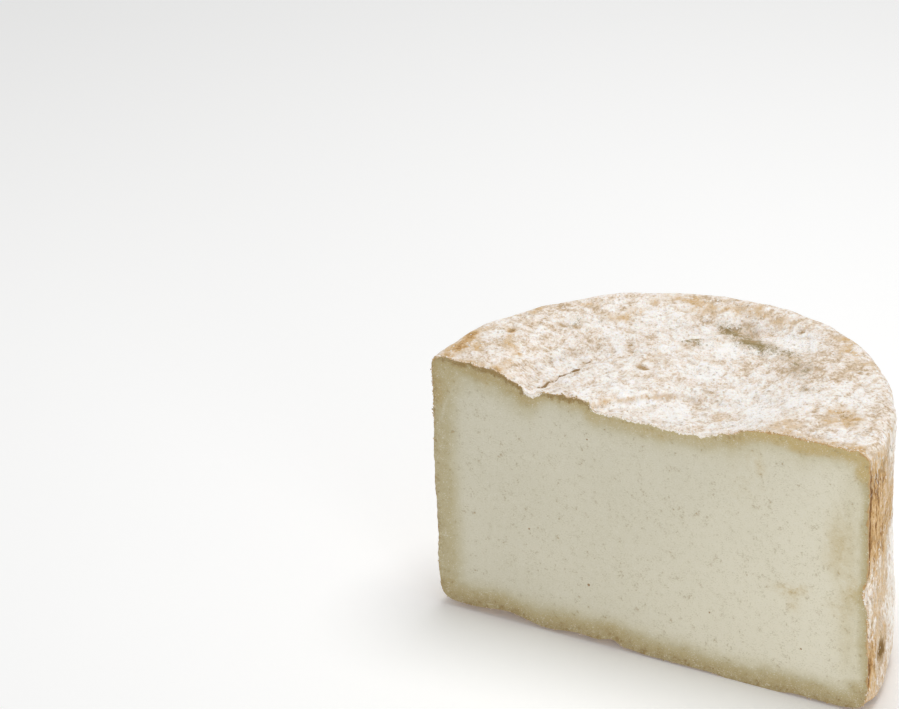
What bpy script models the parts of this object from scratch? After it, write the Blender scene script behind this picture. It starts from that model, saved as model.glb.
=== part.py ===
"""Half of an aged, drum-shaped cheese, cut down through its middle and standing on its base.

Metres, +Z up. X runs along the cut, the cut face looks towards -Y, and the origin lies under the middle
of the half, on the surface that it stands on. The rind and the paste are one piece, so it is one solid:
a drum with rounded rims, pressed out of true by its cloth and its shelf, and then cut.
"""

import math

import bmesh
import bpy
from mathutils import Vector, noise

MM = 0.001

# The drum, before the cloth pressed it
WHEEL_RADIUS = 115.3 * MM
WHEEL_HEIGHT = 138.8 * MM
BACK_BULGE = 2.2 * MM  # the plan is this much deeper than a true circle
CLOTH_FOLD = 1.5 * MM  # depth of the upright folds that the cloth left in the side
SIDE_FLARE = 0.5 * MM  # how much further the side stands out at the top than at the middle
TOP_ROUNDING = 6 * MM
BASE_ROUNDING = 8 * MM
BASE_ALLOWANCE = 1.5 * MM  # material under the floor line, cut away to leave the flat base
CUT_Y = -(WHEEL_RADIUS + BACK_BULGE + CLOTH_FOLD) / 2  # which centres the half on the origin
PAST_THE_CUT = 14 * MM  # rind shaped beyond the cut, so that the cut edge follows its relief

# How finely the solid is meshed
DRUM_SIDES = 96
ROUNDING_STEPS = 5
RELIEF_GRID = 2.6 * MM
KEPT_SHARE = 0.28  # of the grid's faces: flat stretches need fewer than the folds
WELD = 0.02 * MM
SHARP_ANGLE = math.radians(40)

# Where the relief of the top, the side and the foot begins and is whole, in shares of height or radius
TOP_ZONE = (0.78, 0.93)
SIDE_ZONE = (0.70, 0.90)
FOOT_ZONE = (0.22, 0.04)
FOOT_RIM = (0.86, 0.97)
FLARE_ZONE = (0.45, 0.90)

# The dished top: an oval hollow inside a raised border, x and y from the wheel's axis, y away from the cut
DISH_CENTRE = (-10 * MM, 32 * MM)
DISH_LEFT = 64 * MM
DISH_RIGHT = 61 * MM
DISH_DEEP = 62 * MM  # along Y, from its centre
DISH_EDGE = (1.36, 0.72)  # in shares of those: where the slope starts, and where the floor begins
DISH_DEPTH = 10.2 * MM
DISH_RISE = 0.45  # the share by which the floor is shallower at the back
DISH_RISE_FROM = 10 * MM
DISH_RISE_TO = 75 * MM
TOP_TILT = 0.007  # the right of the wheel stands higher than the left
BACK_TILT = 0.016  # and the back higher than the cut

# The lines of the folds in it, in millimetres
BORDER_STEP = [(-64, -20), (-66, 0), (-69, 20), (-68, 32), (-61, 44), (-50, 57), (-38, 66)]
FIRST_CREASE = [(-65, -20), (-62, 0), (-60, 14), (-57, 25), (-52, 35), (-48, 44)]
SECOND_CREASE = [(-35, -20), (-27.5, 0), (-21, 8), (-12, 14), (-3, 20), (8, 26), (22, 29)]
KNOT_RIDGE = [(-31, 50), (-21, 60), (-11, 71), (1, 81), (19, 79), (38, 75), (52, 64)]
KNOT_HOLLOW = [(-27, 62), (-19, 74), (-10, 88), (3, 95), (20, 93), (36, 88), (49, 77)]
BORDER_STEP_DROP = 1.9 * MM
BORDER_STEP_WIDTH = 4 * MM
BORDER_STEP_REACH = 30 * MM  # the drop is made up again this far in
FIRST_CREASE_DEPTH = 1.2 * MM
FIRST_CREASE_WIDTH = 3.2 * MM
SECOND_CREASE_DEPTH = 0.6 * MM
SECOND_CREASE_WIDTH = 2.2 * MM
PAD_HEIGHT = 4.4 * MM  # of the cushion between the two creases
PAD_FRONT = 7 * MM  # how wide its slope up from the first crease is
PAD_BACK = (1.5 * MM, -2.5 * MM)  # its drop at the second crease starts and ends here
PAD_RIDGE = (-5 * MM, 4 * MM)  # and its drop behind the knot's ridge
PAD_SPAN = (42 * MM, -25 * MM)  # it thins out to the right between these
RIDGE_HEIGHT = 1.4 * MM
RIDGE_WIDTH = 6 * MM
HOLLOW_DEPTH = 4.6 * MM
HOLLOW_WIDTH = 7.5 * MM
HOLLOW_BLUNTNESS = 0.6  # under 1: it keeps its depth nearer to its ends

# Dents as (x, y, radius, depth) in millimetres: on the side, as (arc length, height, radius, depth)
TOP_DENTS = [
    (-93, 39, 3.0, 1.4),
    (-73, 61, 4.5, 2.0),
    (-30, 52, 4.0, 2.2),
    (62, 55, 4.0, 1.6),
    (49, 64, 3.5, 1.4),
    (10, 93, 6.0, 1.8),
    (88, 30, 7.0, 1.2),
]
SIDE_DENTS = [
    (3, 64, 6.0, 2.6),
    (24, 42, 7.0, 3.0),
    (62, 88, 9.0, 2.2),
    (118, 50, 11.0, 2.6),
    (166, 98, 8.0, 2.0),
    (214, 36, 9.0, 2.4),
    (262, 82, 12.0, 2.6),
    (318, 58, 8.0, 2.2),
]
DENT_REACH = 3  # in radii, past which a dent leaves nothing

# The foot's edge along the cut: how far it stands off the floor, as (x, height) in millimetres
FOOT_LIFT = [
    (-110, 3.2),
    (-98, 3.0),
    (-78, 4.9),
    (-56, 1.5),
    (-38, 3.2),
    (-28, 2.6),
    (-20, 4.6),
    (-13, 1.8),
    (0, 0.9),
    (32, 0.9),
    (46, -0.4),
    (66, -0.2),
    (78, 1.3),
    (100, 1.2),
    (110, 2.2),
]
FOOT_LIFT_REACH = 16 * MM

# The flat that the half stands on, pressed by its shelf: a many-cornered plate just proud of the base
FOOT_RADIUS = 100 * MM
FOOT_CORNERS = 7
FOOT_FROM_CUT = math.radians(8)  # seen from the wheel's axis, its end corners lie this far behind the cut
FOOT_PROUD = 0.6 * MM
FOOT_ROOT = 3 * MM  # how far the plate reaches up into the cheese, before they are joined

# The curd's own unevenness, as (size of a lump, height), and the folds of the side
LUMPS = [(24 * MM, 1.1 * MM), (10 * MM, 0.6 * MM)]
TOP_KNOBS = (7 * MM, 0.9 * MM)
FOLD_WIDTH = 17 * MM
FOLD_LENGTH = 70 * MM


def smooth(start, end, value):
    """0 at start, 1 at end, with no corner between them."""
    t = min(1.0, max(0.0, (value - start) / (end - start)))
    return t * t * (3 - 2 * t)


def bell(distance, width):
    return math.exp(-((distance / width) ** 2))


def along_line(points, x, y):
    """Distance from a fold line, positive to its right, and the share of the line passed, 0 to 1."""
    nearest = None
    spans = len(points) - 1
    for i in range(spans):
        ax, ay = points[i][0] * MM, points[i][1] * MM
        bx, by = points[i + 1][0] * MM, points[i + 1][1] * MM
        dx, dy = bx - ax, by - ay
        t = ((x - ax) * dx + (y - ay) * dy) / (dx * dx + dy * dy)
        t = min(1.0, max(0.0, t))
        gap = math.hypot(x - ax - t * dx, y - ay - t * dy)
        if nearest is None or gap < abs(nearest[0]):
            right = (x - ax) * dy - (y - ay) * dx > 0
            nearest = (gap if right else -gap, (i + t) / spans)
    return nearest


def between(points, x):
    """Height in metres, read smoothly off a list of (x, height) in millimetres."""
    x = min(points[-1][0], max(points[0][0], x / MM))
    for (ax, ah), (bx, bh) in zip(points, points[1:]):
        if x <= bx:
            return (ah + (bh - ah) * smooth(ax, bx, x)) * MM
    return points[-1][1] * MM


def dents(places, x, y):
    """The depth, below zero, that a list of dents leaves at x, y."""
    return -sum(
        depth * MM * bell(math.hypot(x - px * MM, y - py * MM), radius * MM)
        for px, py, radius, depth in places
        if abs(x - px * MM) < DENT_REACH * radius * MM
    )


def dish(x, y):
    """How much of the dish's depth there is at x, y: 0 on the border, 1 on the floor."""
    dx, dy = x - DISH_CENTRE[0], y - DISH_CENTRE[1]
    reach = math.hypot(dx / (DISH_LEFT if dx < 0 else DISH_RIGHT), dy / DISH_DEEP)
    return smooth(DISH_EDGE[0], DISH_EDGE[1], reach)


def folds(x, y, inside):
    """What the cloth's folds and its knot add to the dish and take from it."""
    step, along_step = along_line(BORDER_STEP, x, y)
    first, along_first = along_line(FIRST_CREASE, x, y)
    second, along_second = along_line(SECOND_CREASE, x, y)
    ridge, along_ridge = along_line(KNOT_RIDGE, x, y)
    hollow, along_hollow = along_line(KNOT_HOLLOW, x, y)

    half_step = BORDER_STEP_WIDTH / 2
    drop = smooth(-half_step, half_step, step) * smooth(BORDER_STEP_REACH, BORDER_STEP_WIDTH, step)
    height = -BORDER_STEP_DROP * drop * smooth(1.0, 0.55, along_step)
    height -= FIRST_CREASE_DEPTH * bell(first, FIRST_CREASE_WIDTH) * smooth(1.0, 0.7, along_first)
    height -= SECOND_CREASE_DEPTH * bell(second, SECOND_CREASE_WIDTH) * smooth(1.0, 0.5, along_second)

    pad = smooth(0, PAD_FRONT, first) if along_first < 1 else 1.0
    pad *= smooth(*PAD_BACK, second) * smooth(*PAD_RIDGE, ridge) * smooth(*PAD_SPAN, x)
    height += PAD_HEIGHT * pad * inside

    height += RIDGE_HEIGHT * bell(ridge, RIDGE_WIDTH) * math.sin(math.pi * along_ridge)
    ends = math.sin(math.pi * along_hollow) ** HOLLOW_BLUNTNESS
    return height - HOLLOW_DEPTH * bell(hollow, HOLLOW_WIDTH) * ends


def top_relief(x, y):
    """How far the top stands above the drum's flat end, at x and y from the axis."""
    inside = dish(x, y)
    depth = DISH_DEPTH * (1 - DISH_RISE * smooth(DISH_RISE_FROM, DISH_RISE_TO, y))
    size, height = TOP_KNOBS
    knobs = height * noise.noise(Vector((x, y, 0)) / size)
    tilt = TOP_TILT * x + BACK_TILT * max(0, y)
    return tilt + knobs + folds(x, y, inside) + dents(TOP_DENTS, x, y) - depth * inside


def side_relief(x, y, z):
    """How far the side stands out past the drum's radius."""
    arc = WHEEL_RADIUS * math.atan2(y, x)
    behind = max(0, y) / WHEEL_RADIUS
    flare = smooth(FLARE_ZONE[0], FLARE_ZONE[1], z / WHEEL_HEIGHT) * behind
    fold = noise.noise(Vector((arc / FOLD_WIDTH, z / FOLD_LENGTH, 4.7)))
    return BACK_BULGE * behind + SIDE_FLARE * flare + CLOTH_FOLD * fold + dents(SIDE_DENTS, arc, z)


def foot_relief(x, y, radius):
    """How far the foot stands off the floor, near its outer edge and near the cut only."""
    rim = smooth(*FOOT_RIM, radius)
    cut = smooth(FOOT_LIFT_REACH, 0, abs(y))
    return BASE_ALLOWANCE * max(rim, cut) + between(FOOT_LIFT, x) * cut


def curd(point):
    """The unevenness of the curd, in metres along the surface's normal."""
    return sum(height * noise.noise(point / size) for size, height in LUMPS)


def press(mesh):
    """Moves every vertex of the plain drum to where the cloth and the shelf left it."""
    normals = [vertex.normal.copy() for vertex in mesh.vertices]
    for vertex, normal in zip(mesh.vertices, normals):
        x, y, z = vertex.co
        y -= CUT_Y
        radius = math.hypot(x, y) / WHEEL_RADIUS
        outwards = Vector((x, y, 0)).normalized()
        upper = smooth(*TOP_ZONE, z / WHEEL_HEIGHT)
        lower = smooth(*FOOT_ZONE, z / WHEEL_HEIGHT)
        move = normal * (curd(vertex.co) * smooth(-1.0, -0.6, normal.z))
        move += outwards * (side_relief(x, y, z) * smooth(*SIDE_ZONE, radius))
        move.z += top_relief(x, y) * upper + foot_relief(x, y, radius) * lower
        vertex.co += move


def cut_and_fill(bm, point, outwards):
    """Cuts away what lies beyond a plane and closes the body with one flat face."""
    cut = bmesh.ops.bisect_plane(
        bm,
        geom=bm.verts[:] + bm.edges[:] + bm.faces[:],
        plane_co=point,
        plane_no=outwards,
        clear_outer=True,
        dist=WELD,
    )
    edges = [item for item in cut["geom_cut"] if isinstance(item, bmesh.types.BMEdge)]
    edges = [edge for edge in edges if edge.is_boundary]
    bmesh.ops.contextual_create(bm, geom=edges)


def round_rim(bm, middle, above, rounding):
    """Rounds the drum's upper or lower rim."""
    rim = [
        edge
        for edge in bm.edges
        if all((vertex.co.z > middle) == above for vertex in edge.verts) and edge.calc_face_angle() > 1
    ]
    bmesh.ops.bevel(
        bm, geom=rim, offset=rounding, segments=ROUNDING_STEPS, profile=0.5, affect="EDGES"
    )


def make_drum():
    """A round drum with rounded rims, cut off a little beyond the half that is kept."""
    bm = bmesh.new()
    bmesh.ops.create_cone(
        bm,
        cap_ends=True,
        segments=DRUM_SIDES,
        radius1=WHEEL_RADIUS,
        radius2=WHEEL_RADIUS,
        depth=WHEEL_HEIGHT + BASE_ALLOWANCE,
    )
    middle = (WHEEL_HEIGHT - BASE_ALLOWANCE) / 2
    bmesh.ops.translate(bm, verts=bm.verts, vec=(0, CUT_Y, middle))
    round_rim(bm, middle, True, TOP_ROUNDING)
    round_rim(bm, middle, False, BASE_ROUNDING)
    cut_and_fill(bm, (0, CUT_Y - PAST_THE_CUT, 0), (0, -1, 0))
    mesh = bpy.data.meshes.new("half_wheel")
    bm.to_mesh(mesh)
    bm.free()
    return mesh


def make_foot():
    """The plate under the base, as a body of its own."""
    bm = bmesh.new()
    step = (math.pi - 2 * FOOT_FROM_CUT) / (FOOT_CORNERS - 1)
    angles = [FOOT_FROM_CUT + i * step for i in range(FOOT_CORNERS)]
    corners = [bm.verts.new((FOOT_RADIUS * math.cos(a), FOOT_RADIUS * math.sin(a) + CUT_Y, 0)) for a in angles]
    sole = bm.faces.new(corners)
    top = bmesh.ops.extrude_face_region(bm, geom=[sole])
    raised = [item for item in top["geom"] if isinstance(item, bmesh.types.BMVert)]
    bmesh.ops.translate(bm, verts=raised, vec=(0, 0, FOOT_PROUD + FOOT_ROOT))
    bmesh.ops.recalc_face_normals(bm, faces=bm.faces)
    mesh = bpy.data.meshes.new("foot")
    bm.to_mesh(mesh)
    bm.free()
    return mesh


def make_finish():
    """Straw-coloured rind over ivory paste: the solid carries the rind's colour."""
    finish = bpy.data.materials.new("rind")
    finish.use_nodes = True
    shader = finish.node_tree.nodes["Principled BSDF"]
    shader.inputs["Base Color"].default_value = (0.72, 0.60, 0.42, 1)
    shader.inputs["Roughness"].default_value = 0.85
    shader.inputs["Metallic"].default_value = 0.0
    return finish


def apply_modifier(obj, kind, **settings):
    modifier = obj.modifiers.new(kind.title(), kind)
    for name, value in settings.items():
        setattr(modifier, name, value)
    bpy.ops.object.modifier_apply(modifier=modifier.name)


def make_half_wheel():
    half = bpy.data.objects.new("half_wheel", make_drum())
    bpy.context.collection.objects.link(half)
    bpy.context.view_layer.objects.active = half
    apply_modifier(half, "REMESH", mode="VOXEL", voxel_size=RELIEF_GRID)
    press(half.data)
    apply_modifier(half, "DECIMATE", ratio=KEPT_SHARE)

    bm = bmesh.new()
    bm.from_mesh(half.data)
    cut_and_fill(bm, (0, CUT_Y, 0), (0, -1, 0))
    cut_and_fill(bm, (0, 0, FOOT_PROUD), (0, 0, -1))
    bm.to_mesh(half.data)
    bm.free()
    foot = bpy.data.objects.new("foot", make_foot())
    bpy.context.collection.objects.link(foot)
    apply_modifier(half, "BOOLEAN", operation="UNION", object=foot)
    bpy.data.objects.remove(foot)
    apply_modifier(half, "TRIANGULATE", quad_method="BEAUTY", ngon_method="BEAUTY")
    half.data.shade_smooth()
    half.data.set_sharp_from_angle(angle=SHARP_ANGLE)
    half.data.materials.append(make_finish())


for old in list(bpy.data.objects):
    bpy.data.objects.remove(old)
make_half_wheel()
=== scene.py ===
import math

import bpy
import numpy as np
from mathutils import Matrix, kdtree, noise


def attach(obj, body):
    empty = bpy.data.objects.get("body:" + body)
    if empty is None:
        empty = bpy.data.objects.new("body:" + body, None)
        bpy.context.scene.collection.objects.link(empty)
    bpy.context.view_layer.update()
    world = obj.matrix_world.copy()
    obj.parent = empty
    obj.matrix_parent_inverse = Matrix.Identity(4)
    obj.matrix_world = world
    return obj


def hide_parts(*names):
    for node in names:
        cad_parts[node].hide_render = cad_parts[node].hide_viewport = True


# Half of an aged drum cheese, cut down its middle. Sizes are in millimetres until a mesh gets them.
# x runs along the cut, y away from it, z up. "From the axis" means y counted from the cut face.

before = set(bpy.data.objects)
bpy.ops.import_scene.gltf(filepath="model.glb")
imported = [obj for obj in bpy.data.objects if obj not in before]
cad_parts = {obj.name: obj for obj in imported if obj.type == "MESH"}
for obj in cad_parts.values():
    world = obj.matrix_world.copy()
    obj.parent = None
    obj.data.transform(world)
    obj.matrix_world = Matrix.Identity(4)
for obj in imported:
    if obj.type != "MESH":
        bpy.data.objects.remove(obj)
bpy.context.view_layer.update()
mm = 0.001
print("frame loaded")

# ---- camera, floor and light

view = {"place": (0.79963, -1.56065, 1.05006), "turn": (62.55, 2.094, 29.981), "lens": 165.66, "film": 36}
studio = {
    "floorSize": 30,  # metres
    "floorColour": (0.95, 0.95, 0.945, 1),
    "floorGlow": 0.07,
    "fill": 0.46,  # white light from all round
    "lamps": [  # place, size, watts
        ((0.02, 0.2, 1.34), 0.8, 9.8),
        ((0.86, -0.68, 0.12), 0.5, 4.8),
    ],
}
plainWhite = (1, 1, 1, 1)


def setInputs(shader, values):
    for name, value in values.items():
        shader.inputs[name].default_value = value


def setUpStudio():
    bpy.ops.object.camera_add(location=view["place"], rotation=[math.radians(a) for a in view["turn"]])
    camera = bpy.context.object
    camera.data.sensor_fit = "HORIZONTAL"
    camera.data.sensor_width = view["film"]
    camera.data.lens = view["lens"]
    camera.data.clip_start = 0.05
    bpy.context.scene.camera = camera

    bpy.ops.mesh.primitive_plane_add(size=studio["floorSize"], location=(0, 0, -0.2 * mm))
    floor = bpy.context.object
    floor.name = "floor"
    finish = bpy.data.materials.new("paleFloor")
    finish.use_nodes = True
    surface = finish.node_tree.nodes["Principled BSDF"]
    setInputs(surface, {"Base Color": studio["floorColour"], "Roughness": 1.0, "Specular IOR Level": 0.0,
                        "Emission Color": plainWhite, "Emission Strength": studio["floorGlow"]})
    floor.data.materials.append(finish)

    for place, size, watts in studio["lamps"]:
        bpy.ops.object.light_add(type="AREA", location=place)
        lamp = bpy.context.object
        lamp.data.shape = "DISK"
        lamp.data.size = size
        lamp.data.energy = watts
        aim = -lamp.location.normalized()
        lamp.rotation_euler = aim.to_track_quat("-Z", "Y").to_euler()

    world = bpy.data.worlds.new("studio")
    world.use_nodes = True
    setInputs(world.node_tree.nodes["Background"], {"Color": plainWhite, "Strength": studio["fill"]})
    bpy.context.scene.world = world
    bpy.context.scene.view_settings.view_transform = "Standard"


setUpStudio()
print("studio ready")

# ---- shader maths


def linear(red, green, blue):
    # a colour as a picture has it, 0 to 255, as the shader wants it
    parts = [c / 255 for c in (red, green, blue)]
    return tuple(c / 12.92 if c <= 0.04045 else ((c + 0.055) / 1.055) ** 2.4 for c in parts) + (1,)


def mathNode(operation):
    return lambda self, other: self.sum(operation, self, other)


class Wire:
    # a socket in a material, for writing shader maths as plain sums

    def __init__(self, tree, socket=None):
        self.tree = tree
        self.socket = socket

    def node(self, kind, settings=None, sockets=None, out=0):
        made = self.tree.nodes.new("ShaderNode" + kind)
        for name, value in (settings or {}).items():
            if name == "stops":
                ramp = made.color_ramp
                ramp.elements[0].position, ramp.elements[0].color = value[0]
                ramp.elements.remove(ramp.elements[1])
                for at, colour in value[1:]:
                    ramp.elements.new(at).color = colour
            else:
                setattr(made, name, value)
        for name, value in (sockets or {}).items():
            if isinstance(value, Wire):
                self.tree.links.new(value.socket, made.inputs[name])
            else:
                made.inputs[name].default_value = value
        return Wire(self.tree, made.outputs[out])

    def sum(self, operation, *values):
        return self.node("Math", {"operation": operation}, dict(enumerate(values)))

    __add__, __sub__, __mul__ = mathNode("ADD"), mathNode("SUBTRACT"), mathNode("MULTIPLY")
    atMost, atLeast = mathNode("MINIMUM"), mathNode("MAXIMUM")

    def __rsub__(self, other):
        return self.sum("SUBTRACT", other, self)

    def soft(self, start, end):
        # 0 at start, 1 at end
        limits = {"Value": self, "From Min": start, "From Max": end}
        return self.node("MapRange", {"interpolation_type": "SMOOTHSTEP"}, limits)

    def over(self, under, colour):
        # this much of the colour over what is under it
        return self.node("Mix", {"data_type": "RGBA"}, {0: self, 6: under, 7: colour}, 2)

    def stretched(self, scale, turn=(0, 0, 0)):
        turned = self.node("Mapping", {}, {"Vector": self, "Rotation": turn})
        return turned.node("Mapping", {}, {"Vector": turned, "Scale": scale})

    def grain(self, size, detail, roughness, warp=0.0):
        # noise about 0, with spots of this size in millimetres
        sockets = {"Vector": self, "Scale": 1000 / size, "Detail": detail, "Roughness": roughness,
                   "Distortion": warp}
        return self.node("TexNoise", {}, sockets) - 0.5

    def cells(self, size):
        # 0 in the middle of each cell of this size in millimetres
        sockets = {"Vector": self, "Scale": 1000 / size}
        return self.node("TexVoronoi", {"feature": "F1"}, sockets, "Distance")


def newMaterial(name, roughness, specular):
    material = bpy.data.materials.new(name)
    material.use_nodes = True
    surface = material.node_tree.nodes["Principled BSDF"]
    setInputs(surface, {"Metallic": 0.0, "Roughness": roughness, "Specular IOR Level": specular})
    start = Wire(material.node_tree)
    place = start.node("TexCoord", {}, {}, "Object")
    return material, surface, place


def finishMaterial(surface, colour, height, depth):
    # colour and bump into the shader, depth in millimetres
    bump = height.node("Bump", {}, {"Height": height, "Strength": 1.0, "Distance": depth * mm})
    colour.tree.links.new(colour.socket, surface.inputs["Base Color"])
    colour.tree.links.new(bump.socket, surface.inputs["Normal"])


def noted(place, *names):
    # values that the mesh carries at each vertex
    return [place.node("Attribute", {"attribute_name": name}, {}, "Fac") for name in names]


def fromPhoto(light, *colour):
    # the colour that a surface needs to come out as this one where so much light falls on it
    return tuple(min(1, c / light) for c in linear(*colour)[:3]) + (1,)


def coloursOf(look, light):
    # a look's single colours and the stops of its ramps
    ready = {}
    for name, value in look.items():
        if isinstance(value, tuple):
            ready[name] = fromPhoto(light, *value)
        elif isinstance(value, list) and len(value[0]) == 2:
            ready[name] = [(at, fromPhoto(light, *colour)) for at, colour in value]
    return ready


topLight, frontLight = 0.965, 0.92

rindLook = {
    # from bare skin to thick mould
    "crust": [(0.0, (188, 164, 134)), (0.22, (209, 189, 165)), (0.42, (227, 212, 196)),
              (0.6, (238, 228, 218)), (0.8, (245, 239, 232)), (1.0, (250, 247, 243))],
    # where damp skin shows, from faint to strong, and painted shade drawn in the same colours
    "amber": [(0.0, (233, 217, 197)), (0.28, (221, 196, 162)), (0.52, (205, 170, 122)),
              (0.7, (182, 141, 87)), (0.92, (120, 82, 38))],
    "olive": (150, 132, 92),
    "pit": (182, 154, 116),
    "deepPit": (132, 104, 64),
    # painted shade: the dark brown of the open creases
    "line": (146, 119, 82),
    "fleck": (249, 244, 237),
    "sizes": {"patches": 13, "clumps": 5.2, "crumbs": 1.25, "sideCrumbs": 1.3, "dust": 0.9, "granules": 1.5,
              "streaks": 2.0, "flecks": 1.5, "pores": 3.3},
    "translucency": 0.2,
    "lightReach": 1.5,  # millimetres into the rind
    "bump": 0.55,
}


def makeRindMaterial():
    look, sizes = coloursOf(rindLook, topLight), rindLook["sizes"]
    material, surface, place = newMaterial("rind", 0.9, 0.12)
    setInputs(surface, {"Subsurface Weight": rindLook["translucency"], "Subsurface Radius": (1.0, 0.8, 0.55),
                        "Subsurface Scale": rindLook["lightReach"] * mm})
    mould, amber, olive, relief = noted(place, "mould", "amber", "olive", "relief")
    crease, pit, upright = noted(place, "crease", "pit", "upright")
    # noise of each size, most of it drawn out upwards
    streaky = place.stretched((1, 1, 0.3))
    patches = streaky.grain(sizes["patches"], 3, 0.55)
    clumps = streaky.grain(sizes["clumps"], 3, 0.6)
    crumbs = place.grain(sizes["crumbs"], 4, 0.74, 0.15) * (1 - upright)
    crumbs = crumbs + streaky.grain(sizes["sideCrumbs"], 3, 0.7) * upright
    dust = place.grain(sizes["dust"], 2, 0.7)
    granules = 0.5 - streaky.cells(sizes["granules"])
    streaks = place.stretched((1, 1, 0.32)).grain(sizes["streaks"], 3, 0.7) * upright
    # mould, with the low places of the fine relief painted tan as shade
    amount = mould + patches * 0.8 + clumps * 0.9 + crumbs * 2.1 + dust * 0.6
    amount = amount + granules * 0.34 + relief * 0.28
    colour = amount.node("ValToRGB", {"stops": look["crust"]}, {"Fac": amount}, "Color")
    # damp skin, and painted shade in the same colours: the shadow beside the second crease, the relief's low
    # places and the underside by the foot
    damp = amber * 1.25 + patches * 0.55 + clumps * 1.1 + crumbs * 2.0 + dust * 0.8
    # a little more damp colour in the low places of the relief is painted shade
    damp = damp + streaks * 1.8 - relief * 0.08
    dampColour = damp.node("ValToRGB", {"stops": look["amber"]}, {"Fac": damp * 0.62}, "Color")
    shown = (damp - (amount - 0.5) * 0.4).soft(0.12, 0.8)
    colour = (shown * 0.95).over(colour, dampColour)
    # white flecks that hang down the side
    fleck = place.stretched((1, 1, 0.45)).grain(sizes["flecks"], 3, 0.7)
    fleck = fleck + patches * 0.55 + (mould - 0.3) * 0.4
    colour = (fleck.soft(0.01, 0.24) * upright * 0.88).over(colour, look["fleck"])
    # pores, olive mould, holes and the open crease
    pores = (place.cells(sizes["pores"]) + crumbs * 0.8 + dust * 0.2).soft(0.32, 0.08)
    pores = pores * (clumps + 0.4).soft(0.3, 0.5)
    colour = (pores * 0.55).over(colour, look["pit"])
    dark = (olive * 0.9 + crumbs * 3.4 + clumps * 1.8 + dust * 1.6).soft(0.25, 1.25)
    colour = (dark * olive.soft(0.02, 0.4)).over(colour, look["olive"])
    hole = (pit + crumbs * 2.4 + clumps * 1.6 + dust * 0.8).soft(0.3, 1.5) * pit.soft(0.02, 0.4)
    colour = hole.over(colour, look["pit"])
    colour = (pit + crumbs * 2.0 + dust).soft(1.05, 2.1).over(colour, look["deepPit"])
    # the open creases painted dark brown: painted shade in the cracks
    line = (crease + crumbs * 1.6 + clumps * 0.5).soft(0.4, 1.05)
    colour = line.over(colour, look["line"])
    height = granules * 0.6 + crumbs * 1.1 + clumps * 0.6
    height = height + fleck.soft(0.0, 0.15) * upright * 0.5 - pores * 0.2 - line * 0.4
    finishMaterial(surface, colour, height, rindLook["bump"])
    return material


pasteLook = {
    # from plain paste to the darkest under the rind
    "band": [(0.0, (203, 198, 178)), (0.35, (192, 184, 156)), (0.6, (182, 171, 136)),
             (0.8, (173, 158, 118)), (1.0, (158, 140, 100))],
    "cloud": (208, 203, 184),
    "shade": (186, 180, 156),
    "light": (212, 208, 194),
    # painted light: the paste lighter towards the lower right of the cut, where light from the right and off
    # the floor falls
    "bloom": (226, 220, 200),
    "honey": (184, 162, 110),
    "crust": (150, 125, 79),
    "dusted": (243, 236, 226),
    "skin": (188, 146, 90),
    "stain": (188, 168, 122),
    "speck": (208, 198, 160),
    "line": (184, 175, 150),
    "pit": (140, 108, 62),
    "dots": [(-32, 32, 0.75), (33, 34, 0.5), (81, 27, 0.5), (-31, 112, 0.5), (-64, 55, 0.5)],  # x, z, radius
    "sizes": {"clouds": 30, "crackGroups": 15, "pinGaps": 8.5, "mottle": 4.2, "speckGaps": 3.6, "fine": 1.2,
              "cracks": 1.0, "dry": 0.9},
    "bump": 0.14,
}


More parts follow.
